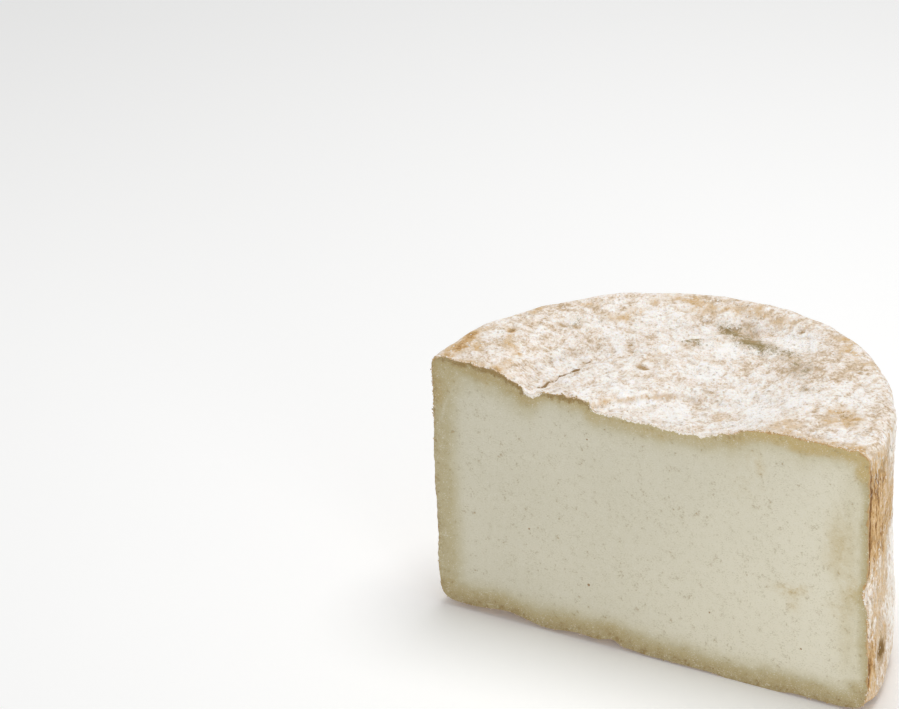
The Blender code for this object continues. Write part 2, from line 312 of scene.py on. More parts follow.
def makePasteMaterial():
    look, sizes = coloursOf(pasteLook, frontLight), pasteLook["sizes"]
    material, surface, place = newMaterial("paste", 0.62, 0.25)
    band, bloom, honey, stain = noted(place, "band", "bloom", "honey", "stain")
    crust, skin, hanging, edge = noted(place, "crust", "skin", "dusted", "edge")
    clouds = place.grain(sizes["clouds"], 3, 0.5)
    fine = place.grain(sizes["fine"], 3, 0.65)
    mottle = place.grain(sizes["mottle"], 3, 0.6)
    bandNow = band + (mottle * 0.5 + fine * 0.35) * band
    colour = band.node("ValToRGB", {"stops": look["band"]}, {"Fac": bandNow}, "Color")
    pale = (clouds * 1.6 + mottle * 0.8 + fine * 0.5 + 0.3).soft(0.0, 1.0) * band.soft(0.3, 0.0)
    colour = pale.over(colour, look["cloud"])
    # painted light, lighter towards the lower right of the cut
    colour = (bloom * 0.55).over(colour, look["bloom"])
    colour = (honey + (mottle + fine * 0.7) * honey).soft(0.05, 1.0).over(colour, look["honey"])
    dry = place.stretched((1, 1, 1.6)).grain(sizes["dry"], 2, 0.6)
    colour = ((dry * 1.8 + mottle * 0.8).soft(0.02, 0.42) * 0.75).over(colour, look["shade"])
    colour = ((dry * -1.8 - mottle * 0.6).soft(0.05, 0.45) * 0.7).over(colour, look["light"])
    # short cracks, nearly level, that slant down to the right
    slanted = place.stretched((1 / 3.6, 1, 1), (0, math.radians(-14), 0))
    cracks = slanted.grain(sizes["cracks"], 3, 0.6).soft(0.08, 0.2)
    cracks = cracks * place.grain(sizes["crackGroups"], 2, 0.5).soft(-0.12, 0.1)
    colour = (cracks * 0.16).over(colour, look["line"])
    stained = (stain * (mottle * 3.0 + fine * 1.5 + 0.5).atLeast(0.0)).atMost(1.0)
    colour = stained.over(colour, look["stain"])
    crustNow = (crust + mottle * 1.6 + fine * 1.8).soft(0.2, 1.0)
    colour = crustNow.over(colour, look["crust"])
    colour = ((skin + fine * 1.6 + mottle * 1.8).soft(0.4, 1.0) * 0.8).over(colour, look["skin"])
    dusted = (hanging + fine * 2.4 + mottle * 1.8).soft(0.4, 0.8) * hanging.soft(0.0, 0.3)
    colour = dusted.over(colour, look["dusted"])
    # pale crumbs and brown dots along the foot and the left edge
    specks = (place.cells(sizes["speckGaps"]) + fine * 1.6 + mottle * 0.8).soft(0.2, 0.02) * edge
    colour = (specks * 0.35).over(colour, look["speck"])
    browned = (fine * 1.8 + mottle * 1.6 + edge).soft(0.95, 1.45)
    colour = (browned * 0.6).over(colour, look["crust"])
    across = place.node("SeparateXYZ", {}, {"Vector": place}, "X")
    up = place.node("SeparateXYZ", {}, {"Vector": place}, "Z")
    for x, z, radius in pasteLook["dots"]:
        dx, dz = (across - x * mm) * 1000, (up - z * mm) * 1000
        spot = (dx * dx + dz * dz + fine * 0.4).soft(radius * radius * 1.6, radius * radius * 0.3)
        colour = (spot * 0.85).over(colour, look["pit"])
    pins = place.cells(sizes["pinGaps"]).soft(0.05, 0.024) * (mottle + 0.5).soft(0.55, 0.62)
    colour = (pins * 0.35).over(colour, look["pit"])
    height = fine + mottle * 0.9 - cracks * 0.35 - pins + crustNow * 1.5 + specks * 1.2
    finishMaterial(surface, colour, height, pasteLook["bump"])
    return material


def makeMouldMaterial(name, look):
    material, surface, place = newMaterial(name, 0.95, 0.08)
    tone = (place.grain(2.2, 3, 0.65) * 1.8 + 0.5).soft(0.0, 1.0)
    colour = tone.over(linear(*look["shade"]), linear(*look["white"]))
    finishMaterial(surface, colour, place.grain(0.8, 2, 0.6), 0.15)
    return material


# ---- modelling helpers


def alone(thing):
    bpy.ops.object.select_all(action="DESELECT")
    thing.select_set(True)
    bpy.context.view_layer.objects.active = thing


def setMode(mode):
    bpy.ops.object.mode_set(mode=mode)


def pick(thing, kind, wanted):
    # goes into edit mode with the vertices, edges or faces that pass the test selected
    alone(thing)
    setMode("EDIT")
    bpy.ops.mesh.select_mode(type=kind)
    bpy.ops.mesh.select_all(action="DESELECT")
    setMode("OBJECT")
    mesh = thing.data
    items = {"VERT": mesh.vertices, "EDGE": mesh.edges, "FACE": mesh.polygons}[kind]
    for item in items:
        item.select = wanted(item)
    setMode("EDIT")


def finishModifier(thing, kind, **settings):
    alone(thing)
    modifier = thing.modifiers.new(kind.lower(), kind)
    for name, value in settings.items():
        setattr(modifier, name, value)
    bpy.ops.object.modifier_apply(modifier=modifier.name)


def readAll(items, name, width=1, kind=float):
    # one value, or a row of them, for each vertex, face or corner
    flat = np.empty(len(items) * width, kind)
    items.foreach_get(name, flat)
    return flat.reshape(-1, width) if width > 1 else flat


def readPoints(mesh):
    return readAll(mesh.vertices, "co", 3) / mm


def readNormals(mesh):
    return readAll(mesh.vertex_normals, "vector", 3, np.float32).astype(float)


def facesOf(mesh):
    return readAll(mesh.polygons, "center", 3) / mm, readAll(mesh.polygons, "normal", 3)


def sidesOf(mesh):
    # whether each vertex has a face of rind, and whether it has one of paste
    sides = np.zeros((len(mesh.vertices), 2), bool)
    for face in mesh.polygons:
        sides[list(face.vertices), face.material_index] = True
    return sides


def writePoints(mesh, points):
    mesh.vertices.foreach_set("co", (points * mm).ravel())
    mesh.update()


def note(mesh, name, values):
    attribute = mesh.attributes.new(name, "FLOAT", "POINT")
    attribute.data.foreach_set("value", np.asarray(values, np.float32))


def smooth(start, end, value):
    t = np.clip((value - start) / (end - start), 0, 1)
    return t * t * (3 - 2 * t)


def bell(distance, width):
    return np.exp(-((distance / width) ** 2))


def noiseAt(points, *size):
    return np.array([noise.noise(row) for row in (points / np.array(size)).tolist()])


def lumpsAt(points, size):
    # 1 in the middle of a lump, 0 between lumps
    near = np.array([noise.voronoi(row)[0][0] for row in (points / size).tolist()])
    return np.clip(1 - (near / 0.62) ** 2, 0, 1)


def alongLine(line, x, y):
    # distance from a fold line, positive to its right, and how far along it, 0 to 1
    gap = np.full(x.shape, 1e9)
    share = np.zeros(x.shape)
    for i, ((ax, ay), (bx, by)) in enumerate(zip(line, line[1:])):
        dx, dy = bx - ax, by - ay
        t = np.clip(((x - ax) * dx + (y - ay) * dy) / (dx * dx + dy * dy), 0, 1)
        here = np.hypot(x - ax - t * dx, y - ay - t * dy)
        side = np.where((x - ax) * dy - (y - ay) * dx > 0, 1, -1)
        nearer = here < np.abs(gap)
        gap = np.where(nearer, here * side, gap)
        share = np.where(nearer, (i + t) / (len(line) - 1), share)
    return gap, share


def dents(places, x, y):
    # hollows as (x, y, radius, depth)
    return -sum(depth * bell(np.hypot(x - px, y - py), radius) for px, py, radius, depth in places)


def patches(places, x, y):
    # soft spots as (x, y, radius along x, radius along y, amount)
    return sum(amount * bell(np.hypot((x - px) / rx, (y - py) / ry), 1)
               for px, py, rx, ry, amount in places)


def amountAt(profile, where):
    # reads between the rows of (place, amount)
    places, amounts = np.array(profile).T
    return np.interp(where, places, amounts)


# ---- the half wheel

wheel = {
    "radius": 115.3,
    "height": 138.8,
    "bulge": 2.2,
    "clothFold": 1.5,
    "flare": 0.5,
    "topRounding": 6,
    "baseRounding": 8,
    "underFloor": 1.5,
    "pastCut": 14,
    "meshSize": 1.08,
    "lumps": [(24, 1.0), (10, 0.4)],  # size and height
    "topKnobs": (7, 0.8),
    "foldWidth": 17,
    "foldLength": 70,
}
cutY = -(wheel["radius"] + wheel["bulge"] + wheel["clothFold"]) / 2

dishShape = {
    "centre": (-10, 32),
    "left": 64,
    "right": 61,
    "deep": 62,
    "edge": (1.36, 0.72),  # begins, and is at its depth, at this share of the reach
    "depth": 10.2,
    "rise": (0.45, 10, 75),  # loses this share of its depth between these y
    "tilt": (0.007, 0.016),  # climb along x and y
    "dents": [(-93, 39, 3.0, 1.2), (-73, 61, 4.5, 0.9), (-30, 52, 4.0, 2.2), (62, 55, 4.0, 1.6),
              (49, 64, 3.5, 1.4), (10, 93, 6.0, 1.8), (88, 30, 7.0, 1.2)],
}
foldLines = {
    "borderStep": [(-64, -20), (-66, 0), (-69, 20), (-68, 32), (-61, 44), (-50, 57), (-38, 66)],
    "firstCrease": [(-65, -20), (-62, 0), (-60, 14), (-57, 25), (-52, 35), (-48, 44)],
    "secondCrease": [(-35, -20), (-27.5, 0), (-21, 8), (-12, 14), (-3, 20), (8, 26), (22, 29)],
    "knotRidge": [(-31, 50), (-21, 60), (-11, 71), (1, 81), (19, 79), (38, 75), (52, 64)],
    "knotHollow": [(-27, 62), (-19, 74), (-10, 88), (3, 95), (20, 93), (36, 88), (49, 77)],
}
# on the side: arc from the right end of the cut, height, radius, depth
sideDents = [(3, 64, 6.0, 2.6), (24, 42, 7.0, 3.0), (62, 88, 9.0, 2.2), (118, 50, 11.0, 2.6),
             (166, 98, 8.0, 2.0), (214, 36, 9.0, 2.4), (262, 82, 12.0, 2.6), (318, 58, 8.0, 2.2)]
# along the foot of the cut: x, how far it is lifted
footLift = [(-110, 3.2), (-98, 3.0), (-78, 4.9), (-56, 1.5), (-38, 3.2), (-28, 2.6), (-20, 4.6), (-13, 1.8),
            (0, 0.9), (32, 0.9), (46, -0.4), (66, -0.2), (78, 1.3), (100, 1.2), (110, 2.2)]


def foldsAt(x, y, inside):
    near = [alongLine(line, x, y) for line in foldLines.values()]
    (step, alongStep), (first, alongFirst), (second, alongSecond) = near[:3]
    (ridge, alongRidge), (hollow, alongHollow) = near[3:]
    drop = smooth(-2, 2, step) * smooth(30, 4, step)
    height = -1.9 * drop * smooth(1.0, 0.55, alongStep)
    height -= 0.7 * bell(first, 3.2) * smooth(1.0, 0.7, alongFirst)
    height -= 0.6 * bell(second, 2.2) * smooth(1.0, 0.5, alongSecond)
    padWidth = 7 + 3 * smooth(2, 12, y)
    pad = np.where(alongFirst < 1, smooth(-0.1, 1, first / padWidth), 1.0)
    pad = pad * smooth(1.5, -2.5, second) * smooth(-5, 4, ridge) * smooth(42, -25, x)
    height += 4.4 * pad * inside
    height += 1.4 * bell(ridge, 6) * np.sin(math.pi * alongRidge)
    return height - 4.6 * bell(hollow, 7.5) * np.sin(math.pi * alongHollow) ** 0.6


def dishAt(x, y):
    shape = dishShape
    dx, dy = x - shape["centre"][0], y - shape["centre"][1]
    reach = np.hypot(dx / np.where(dx < 0, shape["left"], shape["right"]), dy / shape["deep"])
    return smooth(*shape["edge"], reach)


def topRelief(x, y):
    shape = dishShape
    inside = dishAt(x, y)
    share, start, end = shape["rise"]
    depth = shape["depth"] * (1 - share * smooth(start, end, y))
    size, height = wheel["topKnobs"]
    knobs = height * noiseAt(np.stack([x, y, 0 * x], 1), size) * smooth(112, 100, np.hypot(x, y))
    tilt = shape["tilt"][0] * x + shape["tilt"][1] * np.maximum(0, y)
    return tilt + knobs + foldsAt(x, y, inside) + dents(shape["dents"], x, y) - depth * inside


def sideRelief(x, y, z):
    arc = wheel["radius"] * np.arctan2(y, x)
    behind = np.maximum(0, y) / wheel["radius"]
    flare = smooth(0.45, 0.9, z / wheel["height"]) * behind
    fold = noiseAt(np.stack([arc / wheel["foldWidth"], z / wheel["foldLength"], 4.7 + 0 * z], 1), 1)
    return (wheel["bulge"] * behind + wheel["flare"] * flare + wheel["clothFold"] * fold
            + dents(sideDents, arc, z))


def footRelief(x, y, radius):
    rim = smooth(0.86, 0.97, radius)
    cut = smooth(16, 0, np.abs(y))
    at = np.array(footLift)
    spot = np.clip(np.searchsorted(at[:, 0], x) - 1, 0, len(at) - 2)
    low, high = at[spot], at[spot + 1]
    lift = low[:, 1] + (high[:, 1] - low[:, 1]) * smooth(low[:, 0], high[:, 0], x)
    return wheel["underFloor"] * np.maximum(rim, cut) + lift * cut


def pressDrum(mesh):
    # moves the plain drum's vertices to where the cloth and the shelf left them
    points, normals = readPoints(mesh), readNormals(mesh)
    x, y, z = points[:, 0], points[:, 1] - cutY, points[:, 2]
    radius = np.hypot(x, y)
    outwards = np.stack([x, y, 0 * x], 1) / np.maximum(radius, 1e-6)[:, None]
    radius = radius / wheel["radius"]
    curd = sum(height * noiseAt(points, size) for size, height in wheel["lumps"])
    move = normals * (curd * smooth(-1.0, -0.6, normals[:, 2]))[:, None]
    move += outwards * (sideRelief(x, y, z) * smooth(0.7, 0.9, radius))[:, None]
    move[:, 2] += topRelief(x, y) * smooth(0.78, 0.93, z / wheel["height"])
    move[:, 2] += footRelief(x, y, radius) * smooth(0.22, 0.04, z / wheel["height"])
    writePoints(mesh, points + move)


mouldMap = {
    "dish": 0.7,
    "border": 0.56,
    "side": 0.32,
    "behind": 0.5,
    # little mould underneath, partly so the gap under the foot comes out dark: painted shade
    "base": 0.1,
    # x and y from the axis, radius along x and y, more or less mould
    "top": [
        (-65, 34, 6, 8, 0.08), (-40, 90, 12, 8, 0.28), (-20, 86, 8, 6, 0.14),
        # the spot at 36, 88, the white hill behind the olive hollow, has extra mould against the shade it gets:
        # partly painted light
        (5, 70, 15, 6, 0.22), (18, 76, 8, 5, 0.16), (36, 88, 10, 8, 0.55), (88, 46, 12, 9, 0.25),
        (98, 12, 12, 6, 0.16), (64, 34, 10, 16, 0.16), (29, 20, 7, 3, -0.14), (7, 46, 10, 7, 0.36),
        (76, 36, 8, 10, 0.06), (-15, 47, 10, 6, -0.1), (40, 60, 12, 8, -0.12), (-84, 50, 12, 10, -0.06),
        (-52, 60, 12, 6, -0.05), (52, 68, 14, 10, -0.2), (70, 70, 12, 10, -0.1), (-75, 75, 14, 8, -0.08),
        (-98, 30, 5, 5, 0.14), (-88, 12, 5, 7, 0.12), (-10, 12, 30, 8, 0.1), (50, 30, 14, 18, 0.28),
        (10, 10, 24, 9, 0.1),
    ],
    # arc from the right end of the cut and height, on the side
    "round": [
        (3, 65, 5, 6, 0.1), (10, 75, 5, 4, 0.12), (2, 45, 3, 3, 0.18), (8, 46, 3, 3, 0.22),
        (10, 25, 3, 4, 0.25), (15, 33, 4, 3, 0.3), (3, 12, 3, 3, 0.3), (4, 98, 8, 20, -0.25),
        (18, 92, 10, 18, -0.15), (3, 28, 5, 16, -0.25), (42, 128, 26, 9, 0.25), (48, 64, 18, 24, 0.46),
        (36, 98, 9, 11, -0.36), (54, 26, 14, 12, 0.32), (84, 100, 20, 20, 0.14), (118, 84, 26, 20, -0.1),
        (150, 30, 30, 16, 0.22), (196, 100, 26, 18, 0.2), (240, 50, 24, 24, -0.08), (290, 96, 24, 20, 0.22),
        (340, 40, 16, 24, 0.05), (352, 84, 10, 14, 0.2),
    ],
}
amberMap = {
    "top": [
        (-92, 63, 4, 6, 0.55), (-106, 48, 3.5, 7, 0.4), (-104, 36, 4, 4, 0.3), (-108, 26, 5, 6, 0.8),
        (-107, 14, 5, 8, 0.8), (-98, 16, 3.5, 8, 0.45), (-93.5, 40, 2.2, 2.2, 1.3), (-90.5, 33, 2.4, 5, 0.65),
        (-86, 27, 4, 3, 0.55), (-80, 23, 6, 3, 0.35), (-76, 33, 7, 4, 0.25), (-80, 13, 3, 8, 0.5),
        (-78, 3, 7, 3, 0.5), (-96, 2, 14, 2, 0.4), (-110, 4, 5, 5, 0.45), (-51, 78, 8, 4, 0.5),
        (-49, 86, 5, 3, 0.4), (-72, 80, 6, 4, 0.35), (-45, 97, 5, 4, 0.4), (-30, 105, 11, 5, 0.46),
        (-10, 105, 12, 5, 0.4), (6, 107, 8, 4, 0.36), (20, 104, 8, 4, 0.44), (36, 102, 10, 4, 0.26),
        (-25, 98, 10, 5, 0.2), (58, 97, 6, 4, 0.5), (62, 89, 3.5, 6, 0.5), (66, 83, 5, 3, 0.4),
        (78, 78, 7, 6, 0.36), (75, 66, 4, 4, 0.18), (87, 70, 4, 6, 0.2), (86, 81, 5, 4, 0.4),
        (103, 44, 5, 9, 0.05), (108, 30, 4, 10, 0.1), (88, 28, 9, 5, 0.4), (97, 25, 8, 4, 0.32),
        (84, 20, 5, 4, 0.38), (93, 20, 5, 4, 0.32), (80, 31, 4, 3, 0.3), (90, 34, 5, 3, 0.36),
        (70, 10, 5, 5, 0.4), (64, 5, 5, 3, 0.35), (85, 2.5, 24, 2.2, 0.45), (108, 5, 5, 4, 0.4),
        (-22, 40, 5, 4, 0.3), (-20, 52, 4, 5, 0.2), (-74, 40, 8, 12, -0.1), (-3, 52, 3, 2, 0.15),
        (15, 14, 4, 2, 0.25), (35, 35, 8, 5, 0.15), (40, 75, 5, 4, 0.3), (29, 20, 7, 2.6, 0.34),
    ],
    # height, and how brown the rind is there along the cut's right edge
    "rightEdge": [
        (6, 0.2), (14, 0.6), (30, 0.5), (40, 0.7), (46, 0.2), (62, 0.3), (72, 0.9), (90, 0.8), (112, 0.9),
        (124, 1.5), (132, 1.2), (138, 0.3),
    ],
    "round": [
        (4, 100, 10, 22, 0.36), (2, 90, 3, 10, 0.15), (18, 96, 12, 18, 0.2), (4, 28, 7, 16, 0.4),
        (8, 122, 14, 9, 0.45), (14, 86, 6, 8, 0.2), (30, 40, 14, 12, 0.1), (34, 98, 9, 11, 0.35),
        (84, 40, 14, 20, 0.25), (118, 84, 22, 20, 0.3), (160, 112, 16, 12, 0.25), (200, 40, 24, 16, 0.2),
        (240, 60, 22, 22, 0.3), (300, 40, 22, 20, 0.25), (330, 100, 18, 18, 0.2),
    ],
}
oliveMap = {
    "top": [
        (3, 91, 7, 5, 0.8), (10, 86, 13, 8, 0.7), (16, 80.5, 9, 6, 0.9), (24, 79, 7, 5, 0.86),
        (5, 97, 10, 4, 0.3), (33, 77, 6, 4, 0.5), (-5, 93, 6, 3, 0.9), (-7, 65, 4, 5, 0.65),
        (-9, 71, 8, 7, 0.7), (-14, 66, 5, 5, 0.5), (47, 66, 8, 7, 0.55), (54, 60, 6, 6, 0.5),
        (62, 48, 5, 4, 0.6), (40, 77, 6, 5, 0.55), (-75, 59, 4, 3, 0.45), (-50, 28, 2, 5, 0.5),
        (-68, 63, 6, 5, 0.38), (-60, 70, 3, 3, 0.5), (88, 30, 5, 3, 0.45),
    ],
    "round": [
        (33, 125, 4, 5, 0.5), (27, 115, 5, 3, 0.5), (12, 126, 12, 5, 0.35), (18, 26, 7, 7, 0.7),
        (1, 71, 3, 6, 0.4), (24, 93, 5, 3, 0.3), (70, 88, 6, 6, 0.3), (166, 98, 6, 6, 0.35),
        (262, 82, 8, 8, 0.35),
    ],
}
# holes in the crust: place, radius each way, depth
pitMap = {
    "top": [
        (-93.5, 41, 1.8, 1.8, 1.6), (-75, 59, 2.5, 1.5, 1.2), (-69, 61, 2.5, 1.5, 1.2), (-65, 66, 2, 1.5, 1),
        (-60.5, 71, 2, 1.5, 0.9), (-65, 53, 1.5, 2.5, 0.8), (-22, 38, 3, 2, 1.3), (-19, 37, 2, 1.5, 1),
        (-1, 51, 3, 1.8, 0.8), (-7, 65, 1.8, 3, 1.2), (-6, 93, 4, 1, 1), (4, 94, 4, 2, 1), (16, 83, 3, 3, 1),
        (25, 84, 2, 3, 0.9), (62, 47, 2, 2, 0.9), (68, 45, 2, 1.5, 0.6), (50, 67, 3, 2, 0.6),
        (43, 76, 3, 2, 0.6), (56, 59, 3, 1.5, 0.6), (88, 29, 4, 1.6, 0.8), (84, 27, 2, 2, 0.6),
        (93, 26, 3, 1.5, 0.6), (14, 14, 3, 1, 0.5), (-50, 28, 1.2, 4, 0.7), (-53, 36, 2, 2, 0.7),
        (-82, 3, 2, 1.2, 0.7), (-68, 4, 1.6, 1.6, 0.8),
    ],
    "round": [
        (1.5, 131, 2.5, 2.5, 0.9), (2, 123, 3, 1.8, 1.1), (15, 125, 5, 2.2, 0.7), (22, 122, 3, 2, 0.6),
        (0.5, 73, 1.5, 3, 0.7), (0.5, 68, 1.5, 2, 0.8), (12, 61, 2, 2, 0.5), (18, 26, 6.5, 6.5, 2.4),
        (21, 24, 3, 2.5, 0.9), (16, 18, 3, 1.5, 0.6), (13, 13, 3, 1.5, 0.5), (27, 115, 4, 2, 0.5),
        (12, 86, 2, 4, 0.4), (24, 93, 4, 2, 0.4), (64, 86, 4, 5, 0.9), (118, 48, 5, 4, 1), (166, 97, 4, 4, 0.8),
        (214, 34, 4, 5, 0.9), (262, 80, 5, 5, 1.1), (318, 57, 4, 4, 0.9), (340, 116, 4, 3, 0.7),
    ],
    "small": {"seed": 5, "top": 130, "round": 170, "radius": (0.7, 1.9), "depth": (0.4, 1.2)},
}


def allPits():
    # the pits that are listed one by one and small ones strewn between them
    strewn = pitMap["small"]
    rng = np.random.default_rng(strewn["seed"])
    top, around = list(pitMap["top"]), list(pitMap["round"])
    for _ in range(strewn["top"]):
        far, turn = 112 * math.sqrt(rng.uniform()), rng.uniform(0, math.pi)
        radius, depth = rng.uniform(*strewn["radius"]), rng.uniform(*strewn["depth"])
        x, y = far * math.cos(turn), far * math.sin(turn)
        top.append((x, y, radius * rng.uniform(1, 1.8), radius, depth))
    for _ in range(strewn["round"]):
        radius, depth = rng.uniform(*strewn["radius"]), rng.uniform(*strewn["depth"])
        around.append((rng.uniform(0, 362), rng.uniform(8, 134), radius, radius * rng.uniform(1, 2), depth))
    return top, around


def makeDrum():
    depth = wheel["height"] + wheel["underFloor"]
    middle = (wheel["height"] - wheel["underFloor"]) / 2
    bpy.ops.mesh.primitive_cylinder_add(
        vertices=96, radius=wheel["radius"] * mm, depth=depth * mm, location=(0, cutY * mm, middle * mm))
    drum = bpy.context.object
    drum.name = drum.data.name = "halfWheel"
    bpy.ops.object.transform_apply()
    for above, rounding in ((True, wheel["topRounding"]), (False, wheel["baseRounding"])):
        heights = readPoints(drum.data)[:, 2]
        level = heights.max() if above else heights.min()
        pick(drum, "EDGE", lambda edge: all(abs(heights[v] - level) < 0.01 for v in edge.vertices))
        bpy.ops.mesh.bevel(offset=rounding * mm, segments=5, profile=0.5, affect="EDGES")
        setMode("OBJECT")
    pick(drum, "FACE", lambda face: True)
    bpy.ops.mesh.bisect(plane_co=(0, (cutY - wheel["pastCut"]) * mm, 0), plane_no=(0, -1, 0),
                        use_fill=True, clear_outer=True)
    setMode("OBJECT")
    finishModifier(drum, "REMESH", mode="VOXEL", voxel_size=wheel["meshSize"] * mm)
    return drum


fineRelief = {
    "drift": (7, 3.0),  # size and reach of the wander in the patches' outlines
    "knobs": (3.6, 0.5),  # size and height of the crust's lumps
    "curds": (8.5, 0.9),
    "crumbs": (1.9, 0.36),
    "crack": (0.8, 0.4),  # width and depth of the open crease
    "stripes": (2.4, 16, 0.3),  # width, length and height of the side's upright wrinkles
    "ragged": (3.0, 3.4, 1.0),  # reach from the cut, size and height of its torn top edge
}


def roughen(mesh):
    # the fine relief of the crust, and what the rind's material needs to know at each place
    points, normals = readPoints(mesh), readNormals(mesh)
    x, y, z = points[:, 0], points[:, 1] - cutY, points[:, 2]
    arc = wheel["radius"] * np.arctan2(y, x)
    onTop = smooth(0.25, 0.7, normals[:, 2])
    below = smooth(-0.3, -0.8, normals[:, 2])
    onSide = np.clip(1 - onTop - below, 0, 1)
    size, reach = fineRelief["drift"]
    driftX, driftY = noiseAt(points, size) * reach, noiseAt(points + 40, size) * reach
    px, py, pa, pz = x + driftX, y + driftY, arc + driftX, z + driftY

    mould = mouldMap["border"] + (mouldMap["dish"] - mouldMap["border"]) * dishAt(x, y)
    mould = (mould + patches(mouldMap["top"], px, py)) * onTop
    side = mouldMap["side"] + (mouldMap["behind"] - mouldMap["side"]) * smooth(20, 34, arc)
    mould += (side + patches(mouldMap["round"], pa, pz)) * onSide + mouldMap["base"] * below
    amber = patches(amberMap["top"], px, py) * onTop
    # the underside is brown damp skin, made darker so the gap under the foot shows as shade: partly painted
    # shade
    amber += (0.36 + patches(amberMap["round"], pa, pz)) * onSide + 0.9 * below
    # the cut's right edge is browned
    browned = amountAt(amberMap["rightEdge"], z) * smooth(2.6, 0.6, arc + 0.5 * driftX)
    amber += browned * (x > 0) * (1 - below)
    olive = patches(oliveMap["top"], px, py) * onTop + patches(oliveMap["round"], pa, pz) * onSide
    topPits, roundPits = allPits()
    pits = patches(topPits, x + driftX * 0.4, y + driftY * 0.4) * onTop
    pits += patches(roundPits, arc + driftX * 0.4, z + driftY * 0.4) * onSide

    # the two creases, each open over part of its length
    first, alongFirst = alongLine(foldLines["firstCrease"], x, y)
    second, alongSecond = alongLine(foldLines["secondCrease"], x, y)
    wiggle = noiseAt(points, 4.0) * 1.2
    open1 = smooth(0.24, 0.34, alongFirst) * smooth(1.0, 0.9, alongFirst) * onTop
    open2 = smooth(0.14, 0.18, alongSecond) * smooth(0.98, 0.6, alongSecond) * onTop
    broken = 0.95 + 0.45 * noiseAt(points + 20, 3.5)
    crack = bell(first + 1.2 + wiggle, fineRelief["crack"][0]) * open1 * broken
    crack2 = 1.5 * bell(second + 0.5 + 0.4 * wiggle, 1.0) * open2 * broken
    # whiter strips beside the open creases; the one beside the second crease is painted highlight on its lit
    # ridge
    mould += 0.2 * bell(first - 2.0, 2.0) * open1 + 0.28 * bell(second - 1.6, 1.6) * open2
    # dark lines along the open creases, which the material paints in as shade
    crease = 1.3 * bell(first + 1.3 + wiggle, 0.7) * open1 * broken
    crease2 = 0.85 * bell(second + 0.5 + 0.4 * wiggle, 0.9) * open2 * smooth(0.6, 0.35, alongSecond)
    # a tan band on the upper side of the second crease: painted shadow
    amber += 0.6 * bell(second + 1.0 + 0.6 * wiggle, 1.0) * open2 * broken

    knobSize, knobHeight = fineRelief["knobs"]
    knobs = lumpsAt(points * (1, 1, 0.55), knobSize)
    crumbSize, crumbHeight = fineRelief["crumbs"]
    crumbs = noiseAt(points, crumbSize)
    # round curds with narrow valleys between them
    curdSize, curdHeight = fineRelief["curds"]
    curds = np.abs(noiseAt(points * (1, 1, 0.5) + 90, curdSize))
    width, length, stripeHeight = fineRelief["stripes"]
    stripes = noiseAt(np.stack([arc / width, z / length, 9.1 + 0 * z], 1), 1)
    reach, tornSize, tornHeight = fineRelief["ragged"]
    torn = smooth(reach, 0, y) * noiseAt(np.stack([x, 0 * y, 0.5 * z], 1), tornSize) * tornHeight
    calm = 1 - 0.5 * smooth(104, 112, np.hypot(x, y)) * onTop
    fine = knobHeight * (knobs - 0.45) + crumbHeight * crumbs
    fine *= np.clip(mould + 0.2, 0.3, 1) * (onTop + 0.7 * onSide) * calm
    fine += curdHeight * (np.clip(curds, 0, 0.35) - 0.2) * (onTop * calm + 0.5 * onSide)
    fine += stripeHeight * stripes * onSide + 0.2 * crumbs * onSide + torn * onTop
    fine -= fineRelief["crack"][1] * (crack + crack2) + 0.28 * np.clip(pits, 0, 1.8)
    writePoints(mesh, points + normals * fine[:, None])
    # the rind's material paints shade into the low places of this relief
    relief = knobs - 0.5 + crumbs * 0.8 + (np.clip(curds, 0, 0.3) - 0.2) * 4.0 + stripes * 0.8 * onSide
    notes = {"mould": np.clip(mould, -0.2, 1.1), "amber": amber, "olive": olive,
             "relief": np.clip(relief, -1.2, 1), "crease": np.maximum(crease, crease2), "pit": pits,
             "upright": onSide}
    for name, values in notes.items():
        note(mesh, name, values)


blade = {"width": 244, "height": 152, "middle": 70, "thickness": 30, "cell": 1.3,
         "wave": 0.14, "waveSize": 26, "chatter": 0.05, "chatterSize": 6}


def cutWithKnife(half):
    # the knife's side of the cut is a finely waved sheet with a block behind it
    across, up = round(blade["width"] / blade["cell"]), round(blade["height"] / blade["cell"])
    bpy.ops.mesh.primitive_grid_add(x_subdivisions=across, y_subdivisions=up, size=1,
                                    location=(0, cutY * mm, blade["middle"] * mm),
                                    rotation=(math.radians(90), 0, 0))
    knife = bpy.context.object
    knife.scale = (blade["width"] * mm, blade["height"] * mm, 1)
    bpy.ops.object.transform_apply()
    points = readPoints(knife.data)
    points[:, 1] += blade["wave"] * noiseAt(points, blade["waveSize"], 1, blade["waveSize"] * 0.6)
    points[:, 1] += blade["chatter"] * noiseAt(points, blade["chatterSize"], 1, 2.2)
    writePoints(knife.data, points)
    alone(knife)
    setMode("EDIT")
    bpy.ops.mesh.select_mode(type="EDGE")
    bpy.ops.mesh.select_all(action="SELECT")
    bpy.ops.mesh.region_to_loop()
    away = (0, -blade["thickness"] * mm, 0)
    bpy.ops.mesh.extrude_edges_move(TRANSFORM_OT_translate={"value": away})
    bpy.ops.mesh.edge_face_add()
    bpy.ops.mesh.select_all(action="SELECT")
    bpy.ops.mesh.normals_make_consistent(inside=False)
    setMode("OBJECT")
    finishModifier(half, "BOOLEAN", operation="DIFFERENCE", object=knife, solver="EXACT")
    bpy.data.objects.remove(knife)


